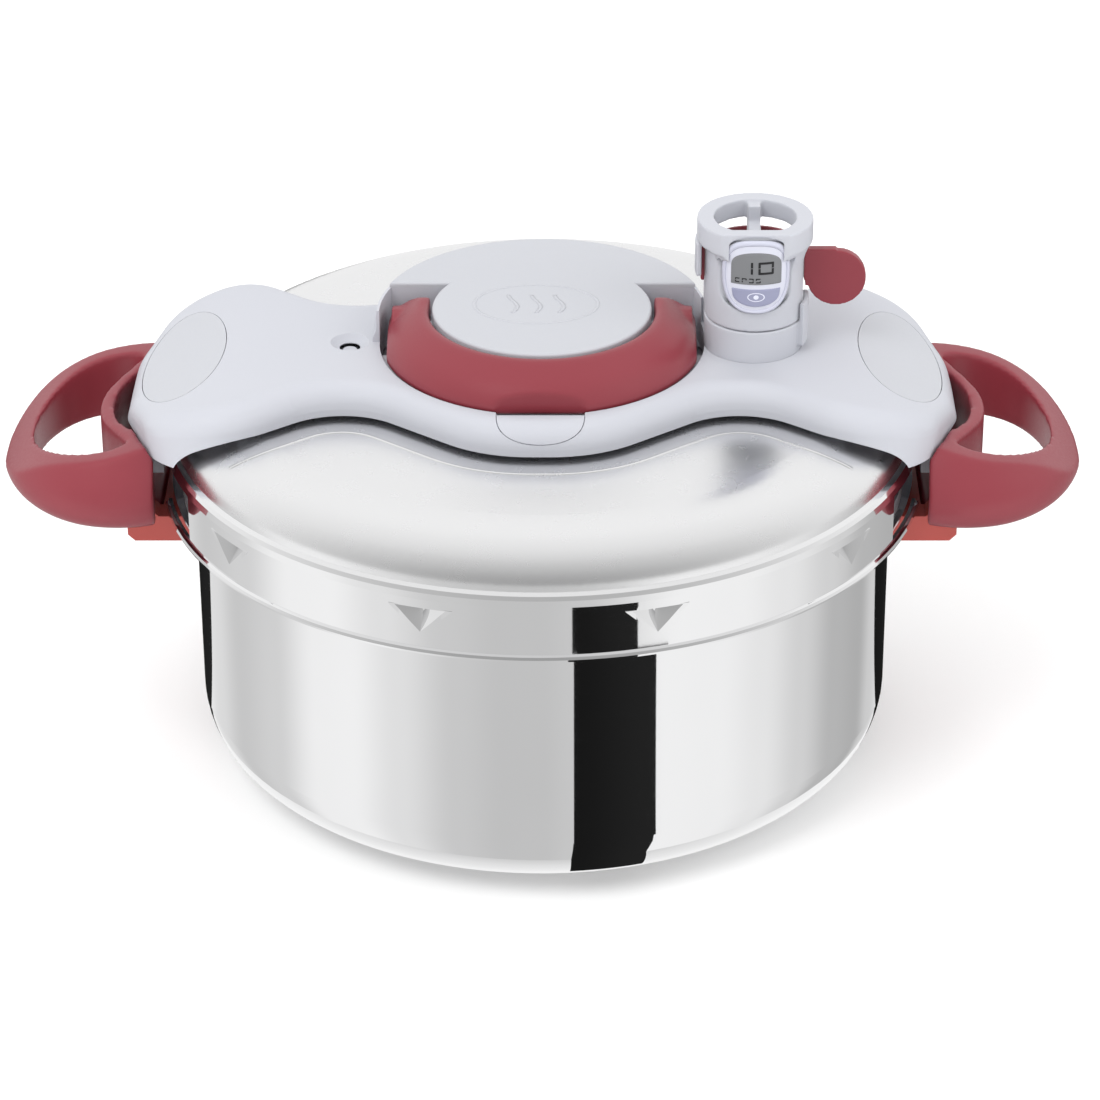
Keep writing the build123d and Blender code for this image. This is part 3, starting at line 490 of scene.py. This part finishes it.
def timer_screen():
    outline = [(-SCREEN_HALF, SCREEN_LOW), (SCREEN_HALF, SCREEN_LOW), (SCREEN_HALF, SCREEN_SHOULDER)]
    outline += bow(SCREEN_HALF, SCREEN_SHOULDER, SCREEN_RISE, power=0.8)
    outline += [(-SCREEN_HALF, SCREEN_SHOULDER)]
    screen = panel("timer_screen", outline, back=17.6, front=17.95, edge=0.1,
                   mat=LCD, body="timer")
    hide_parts("timer_window")


def timer_key():
    outline = [(KEY_TOP_HALF, KEY_TOP), (-KEY_TOP_HALF, KEY_TOP), (-KEY_HALF, KEY_SHOULDER)]
    outline += bow(-KEY_HALF, KEY_SHOULDER, -KEY_DROP)
    outline += [(KEY_HALF, KEY_SHOULDER)]
    key = panel("timer_key_face", outline, back=17.3, front=18.15, edge=0.3,
                mat=KEY, body=TIMER_KEY_BODY)
    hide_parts("timer_button")


def key_symbol():
    # a generic ring and dot
    outer = oval(3.1, 1.75, 0, SYMBOL_Z)
    inner = oval(2.5, 1.25, 0, SYMBOL_Z)
    border("key_symbol_ring", outer, inner, base=18.05, height=0.14,
           mat=MARK, body=TIMER_KEY_BODY)
    panel("key_symbol_dot", oval(0.9, 0.8, 0, SYMBOL_Z), back=18.0, front=18.2, edge=0.05, count=32,
          mat=MARK, body=TIMER_KEY_BODY)


def segment_bar(name, left, right, low, high):
    corners = [(left, low), (right, low), (right, high), (left, high)]
    panel(name, corners, back=17.9, front=18.02, edge=0.04, count=24, mat=INK, body="timer")


def digit(name, left, low, wide, tall, stroke, lit):
    # the lit segments of one figure: a top, b and c right, d bottom, e and f left; the middle is never lit
    right = left + wide
    high = low + tall
    middle = low + tall / 2
    gap = 0.12
    spans = {
        "a": (left + gap, right - gap, high - stroke, high),
        "b": (right - stroke, right, middle + gap, high - gap),
        "c": (right - stroke, right, low + gap, middle - gap),
        "d": (left + gap, right - gap, low, low + stroke),
        "e": (left, left + stroke, low + gap, middle - gap),
        "f": (left, left + stroke, middle + gap, high - gap),
    }
    for segment in lit:
        segment_bar(name + "_" + segment, *spans[segment])


timer_rim()
timer_plate()
timer_screen()
timer_key()
# the display shows a large 10 over four small figures that stand for nothing
digit("ten_1", left=-4.4, low=186.2, wide=3.2, tall=4.6, stroke=0.75, lit="bc")
digit("ten_0", left=0.6, low=186.2, wide=5.4, tall=4.6, stroke=0.80, lit="abcdef")
for k, lit in enumerate(("adef", "abef", "abcd", "acdf")):
    digit(f"unit_{k}", left=-7.4 + 2.4 * k, low=183.1, wide=1.7, tall=1.7, stroke=0.38, lit=lit)
key_symbol()


# ---------------------------------------------------------------- pressed line on the jaws
# the dome is flat out to a radius, then falls in a quarter ellipse
DOME_TOP = 140.5
DOME_FLAT_R = 104.0
DOME_RUN = 24.6
DOME_FALL = 14.9

# the line keeps this far from an outline like the bridge's, and ends at a radius on the dome's fall
LINE_AWAY = 9.0
LINE_END_R = 122.0
LINE_POINTS = 900
TANGENT_SPAN = 3
FILLET_STEPS = 8
LINE_SECTION = [(-0.9, -0.15), (-0.55, 0.18), (0.0, 0.34), (0.55, 0.18), (0.9, -0.15)]

# corners of a quarter of that outline from the hub to the bridge's end, as x, y and radius
HUB_X = 19
HUB_RADIUS = 45
BRIDGE_CORNERS = [(67, 29, 27), (104, 57.5, 24), (131, 47, 26), (143.9, 12, 30)]


def filleted(corners):
    # the closed polyline through (x, y, radius) corners, with its corners rounded
    points = []
    total = len(corners)
    for k in range(total):
        x, y, radius = corners[k]
        corner = Vector((x, y))
        before = Vector(corners[k - 1][:2]) - corner
        after = Vector(corners[(k + 1) % total][:2]) - corner
        half = before.angle(after) / 2
        run = radius / math.tan(half)
        middle = (before.normalized() + after.normalized()).normalized()
        centre = corner + middle * (radius / math.sin(half))
        a = corner + before.normalized() * run - centre
        b = corner + after.normalized() * run - centre
        sweep = -a.angle_signed(b)
        for i in range(FILLET_STEPS + 1):
            cos = math.cos(sweep * i / FILLET_STEPS)
            sin = math.sin(sweep * i / FILLET_STEPS)
            points.append((centre.x + a.x * cos - a.y * sin, centre.y + a.x * sin + a.y * cos))
    return points


def dome_height(x, y):
    past = max(0.0, math.hypot(x, y) - DOME_FLAT_R)
    return DOME_TOP - DOME_FALL + DOME_FALL * math.sqrt(max(0.0, 1 - (past / DOME_RUN) ** 2))


def pressed_line(name, body, side, hub_y):
    # the raised line on one jaw, on the side of the bridge that side gives, -1 front or 1 rear
    quarter = [(HUB_X, hub_y, HUB_RADIUS)] + BRIDGE_CORNERS
    back = quarter[::-1]
    loop = [(x, -y, r) for x, y, r in quarter] + back
    loop += [(-x, y, r) for x, y, r in quarter] + [(-x, -y, r) for x, y, r in back]
    outline = resampled(filleted(loop), LINE_POINTS)
    path = []
    for k, (x, y) in enumerate(outline):
        before = outline[k - TANGENT_SPAN]
        after = outline[(k + TANGENT_SPAN) % LINE_POINTS]
        tangent = Vector((after[0] - before[0], after[1] - before[1])).normalized()
        px = x + tangent.y * LINE_AWAY
        py = y - tangent.x * LINE_AWAY
        if y * side > 0 and math.hypot(px, py) < LINE_END_R:
            path.append((px, py, tangent))
    path.sort(key=lambda point: point[0])
    verts = []
    for x, y, tangent in path:
        for across, rise in LINE_SECTION:
            px = x + tangent.y * across
            py = y - tangent.x * across
            verts.append((px * MM, py * MM, (dome_height(px, py) + rise) * MM))
    rows = len(LINE_SECTION)
    faces = []
    for k in range(len(path) - 1):
        for i in range(rows):
            j = (i + 1) % rows
            faces.append((k * rows + i, (k + 1) * rows + i, (k + 1) * rows + j, k * rows + j))
    faces += [tuple(range(rows)), tuple((len(path) - 1) * rows + i for i in reversed(range(rows)))]
    mesh_object(name, verts, faces, JAW_STEEL, body)


pressed_line("front_jaw_pressed_line", "front_jaw_set", -1, 66.5)
pressed_line("rear_jaw_pressed_line", "rear_jaw_set", 1, 61.0)


# ---------------------------------------------------------------- emblem on the hub's cap: three steam waves
CAP_TOP = 166.0
CAP_X = -2.0
CAP_Y = 2.0
WAVE_PITCH = 8.0
WAVE_SWING = 1.6
WAVE_LENGTH = 14
WAVE_BEND = 3.0
WAVE_HALF = 0.7
WAVE_ROOT = -0.1
WAVE_HEIGHT = 0.12


def on_cap(x, y, height):
    return (x * MM, y * MM, (CAP_TOP + height) * MM)


def cap_wave(number):
    # a short wavy stroke, raised on the cap
    middle_x = CAP_X + WAVE_PITCH * (number - 1)
    low_y = CAP_Y - WAVE_LENGTH / 2
    wave = [(middle_x + WAVE_SWING * math.sin(t / WAVE_BEND), low_y + t) for t in range(WAVE_LENGTH + 1)]
    edge = [(x + WAVE_HALF, y) for x, y in wave] + [(x - WAVE_HALF, y) for x, y in reversed(wave)]
    verts = [on_cap(x, y, height) for height in (WAVE_ROOT, WAVE_HEIGHT) for x, y in edge]
    total = len(edge)
    faces = [(i, (i + 1) % total, total + (i + 1) % total, total + i) for i in range(total)]
    for level in (0, total):
        last = level + total - 1
        faces += [(level + i, level + i + 1, last - i - 1, last - i) for i in range(len(wave) - 1)]
    mesh_object(f"cap_wave_{number}", verts, faces, GREY, "cooker")


border("cap_oval", oval(22.0, 16.0, CAP_X, CAP_Y), oval(20.8, 14.8, CAP_X, CAP_Y), base=-0.02, height=0.22,
       mat=GREY, body="cooker", place=on_cap)
for number in range(3):
    cap_wave(number)


# ---------------------------------------------------------------- stage: floor, cards, room and lights
# pieces that are kept out of the steel's reflections, which are clean in the photo
QUIET = ("timer_case", "timer_cradle", "selector_lever", "opening_handle", "centre_cap")
for obj in bpy.context.scene.objects:
    if obj.name.replace("soft_", "") in QUIET:
        obj.visible_glossy = False

# radii of the walls that mirror the cards, and the cards' heights off the floor
FAN_R = 0.1265
POT_R = 0.122
BAND_R = 0.1316
FAN_LIFT = 0.0004
BLACK_LIFT = 0.0008

# the fan card's half angle, how far out it goes, and its brightness by the angle of the wall that shows it,
# from straight ahead
FAN_ANGLE = 88.0
FAN_REACH = 3.0
WALL_TONES = [(-88, 0.98), (-70, 0.84), (-61, 0.77), (-50, 0.81), (-40, 0.93), (-33, 0.96), (-24, 0.87),
              (-14, 0.78), (-6, 0.75), (0, 0.75), (5, 0.77), (21, 0.94), (30, 0.93), (39, 0.89), (48, 0.81),
              (57, 0.70), (66, 0.67), (72, 0.78), (88, 0.94)]

# brightness of the room in the steel, from the front to the back
ROOM_TONES = [(0.0, 0.59), (0.25, 0.75), (0.5, 0.87), (0.75, 0.93), (1.0, 0.92)]
STEEL_MIRRORS = 0.86

# the lamps look at the middle of the pot
LAMP_TARGET = Vector((0, 0, 0.1))


def mirrored_tone(share):
    # the glow that polished steel shows as this share of display white
    linear = share / 12.92 if share <= 0.04045 else ((share + 0.055) / 1.055) ** 2.4
    return min(1.0, linear / STEEL_MIRRORS)


def glow(name, stops):
    # an emission that runs through the stops along a card's first texture coordinate
    mat, tree = new_material(name)
    out = add(tree, "ShaderNodeOutputMaterial")
    light = add(tree, "ShaderNodeEmission")
    source = add(tree, "ShaderNodeUVMap", uv_map="across")
    split = add(tree, "ShaderNodeSeparateXYZ")
    colours = ramp(tree, stops, "EASE")
    wire(tree, source, "UV", split, "Vector")
    wire(tree, split, "X", colours, "Fac")
    wire(tree, colours, "Color", light, "Color")
    wire(tree, light, "Emission", out, "Surface")
    return mat


def grid_card(name, columns, rows, place, mat):
    # a sheet that only reflections show, whose first texture coordinate runs along its columns
    mesh = bpy.data.meshes.new(name)
    verts = [place(i / columns, j / rows) for j in range(rows + 1) for i in range(columns + 1)]
    faces = []
    for j in range(rows):
        for i in range(columns):
            a = j * (columns + 1) + i
            faces.append((a, a + 1, a + columns + 2, a + columns + 1))
    mesh.from_pydata(verts, [], faces)
    uv = mesh.uv_layers.new(name="across")
    for loop in mesh.loops:
        index = loop.vertex_index
        uv.data[loop.index].uv = ((index % (columns + 1)) / columns, (index // (columns + 1)) / rows)
    mesh.materials.append(mat)
    card = bpy.data.objects.new(name, mesh)
    bpy.context.scene.collection.objects.link(card)
    card.visible_camera = False
    card.visible_diffuse = False
    card.visible_shadow = False
    card.visible_transmission = False
    card.visible_volume_scatter = False


def strip_place(angle0, angle1, reach0, reach1, radius=POT_R, lift=BLACK_LIFT):
    # places on the floor that a round wall mirrors forwards, over a span of its angles; a reach under 0 is
    # below the pot itself
    def place(u, v):
        phi = math.radians(angle0 + (angle1 - angle0) * u)
        reach = reach0 + (reach1 - reach0) * v
        if reach < 0:
            return ((radius + reach) * math.sin(phi), -(radius + reach) * math.cos(phi), lift)
        x = radius * math.sin(phi) + reach * math.sin(2 * phi)
        y = -radius * math.cos(phi) - reach * math.cos(2 * phi)
        return (x, y, lift)
    return place


def fan_place(u, v):
    # as strip_place, with its rows closer together near the pot
    return strip_place(-FAN_ANGLE, FAN_ANGLE, 0.0, FAN_REACH, FAN_R, FAN_LIFT)(u, v * v)


def fan_card():
    stops = [((angle + FAN_ANGLE) / (2 * FAN_ANGLE), mirrored_tone(tone)) for angle, tone in WALL_TONES]
    grid_card("card_fan", 176, 24, fan_place, glow("Card tones", stops))


def black_cards():
    black = glow("Card black", [(0.0, 0.010), (1.0, 0.018)])
    grid_card("card_black_front", 8, 12, strip_place(5.2, 18.7, -0.012, 0.186), black)
    grid_card("card_black_band", 8, 4, strip_place(4.6, 14.4, 0.176, 0.240, BAND_R), black)
    grid_card("card_black_left", 8, 6, strip_place(-89.0, -72.4, -0.012, 1.0), black)
    grid_card("card_black_right", 8, 6, strip_place(72.4, 89.0, -0.012, 1.0), black)


def white_floor():
    mat = surface("Floor white", (0.96, 0.96, 0.96), 0.9, vary=0.004, scale=4.0, specular=0.0)
    bsdf = mat.node_tree.nodes["Principled BSDF"]
    bsdf.inputs["Emission Color"].default_value = (1.0, 1.0, 1.0, 1.0)
    bsdf.inputs["Emission Strength"].default_value = 0.05
    bpy.ops.mesh.primitive_plane_add(size=12.0, location=(0, 0, 0))
    floor = bpy.context.object
    floor.name = "stage_floor"
    floor.data.materials.append(mat)
    floor.visible_glossy = False


def room():
    # even light on everything, a white backdrop for the camera, and a room darker in front for the steel
    world = bpy.data.worlds.new("Studio")
    bpy.context.scene.world = world
    world.use_nodes = True
    tree = world.node_tree
    tree.nodes.clear()
    out = add(tree, "ShaderNodeOutputWorld")
    path = add(tree, "ShaderNodeLightPath")
    place = add(tree, "ShaderNodeTexCoord")
    split = add(tree, "ShaderNodeSeparateXYZ")
    wire(tree, place, "Generated", split, "Vector")
    depth = add(tree, "ShaderNodeMapRange", inputs={"From Min": -1.0, "From Max": 1.0})
    wire(tree, split, "Y", depth, "Value")
    tones = ramp(tree, [(position, mirrored_tone(tone)) for position, tone in ROOM_TONES])
    wire(tree, depth, "Result", tones, "Fac")
    reflected = add(tree, "ShaderNodeBackground", inputs={"Strength": 1.0})
    wire(tree, tones, "Color", reflected, "Color")
    ambient = add(tree, "ShaderNodeBackground", inputs={"Color": (1, 1, 1, 1), "Strength": 1.06})
    backdrop = add(tree, "ShaderNodeBackground", inputs={"Color": (1, 1, 1, 1), "Strength": 1.2})
    mirrored = add(tree, "ShaderNodeMixShader")
    wire(tree, path, "Is Glossy Ray", mirrored, "Fac")
    wire(tree, ambient, "Background", mirrored, 1)
    wire(tree, reflected, "Background", mirrored, 2)
    seen = add(tree, "ShaderNodeMixShader")
    wire(tree, path, "Is Camera Ray", seen, "Fac")
    wire(tree, mirrored, "Shader", seen, 1)
    wire(tree, backdrop, "Background", seen, 2)
    wire(tree, seen, "Shader", out, "Surface")


def area_light(name, location, size, power):
    # a round lamp that looks at the cooker and doesn't show in the steel
    lamp = bpy.data.lights.new(name, "AREA")
    lamp.shape = "DISK"
    lamp.size = size
    lamp.energy = power
    obj = bpy.data.objects.new(name, lamp)
    bpy.context.scene.collection.objects.link(obj)
    obj.location = location
    obj.rotation_euler = (LAMP_TARGET - Vector(location)).to_track_quat("-Z", "Y").to_euler()
    obj.visible_glossy = False


def photo_camera():
    # place, tilt and lens that fit the pot's and jaws' rims in the photo
    lens = bpy.data.cameras.new("Camera")
    lens.lens = 132.0
    lens.sensor_width = 36.0
    lens.shift_x = -0.0349
    lens.clip_end = 50.0
    camera = bpy.data.objects.new("Camera", lens)
    bpy.context.scene.collection.objects.link(camera)
    camera.location = (0.016, -1.256, 0.763)
    camera.rotation_euler = (math.radians(61.12), 0, 0)
    bpy.context.scene.camera = camera
    bpy.context.scene.view_settings.view_transform = "Standard"
    bpy.context.scene.view_settings.look = "None"


fan_card()
black_cards()
white_floor()
room()
area_light("Key", location=(-1.1, -1.2, 2.2), size=1.4, power=24.0)
area_light("Fill", location=(1.8, -0.6, 1.3), size=1.6, power=8.0)
photo_camera()
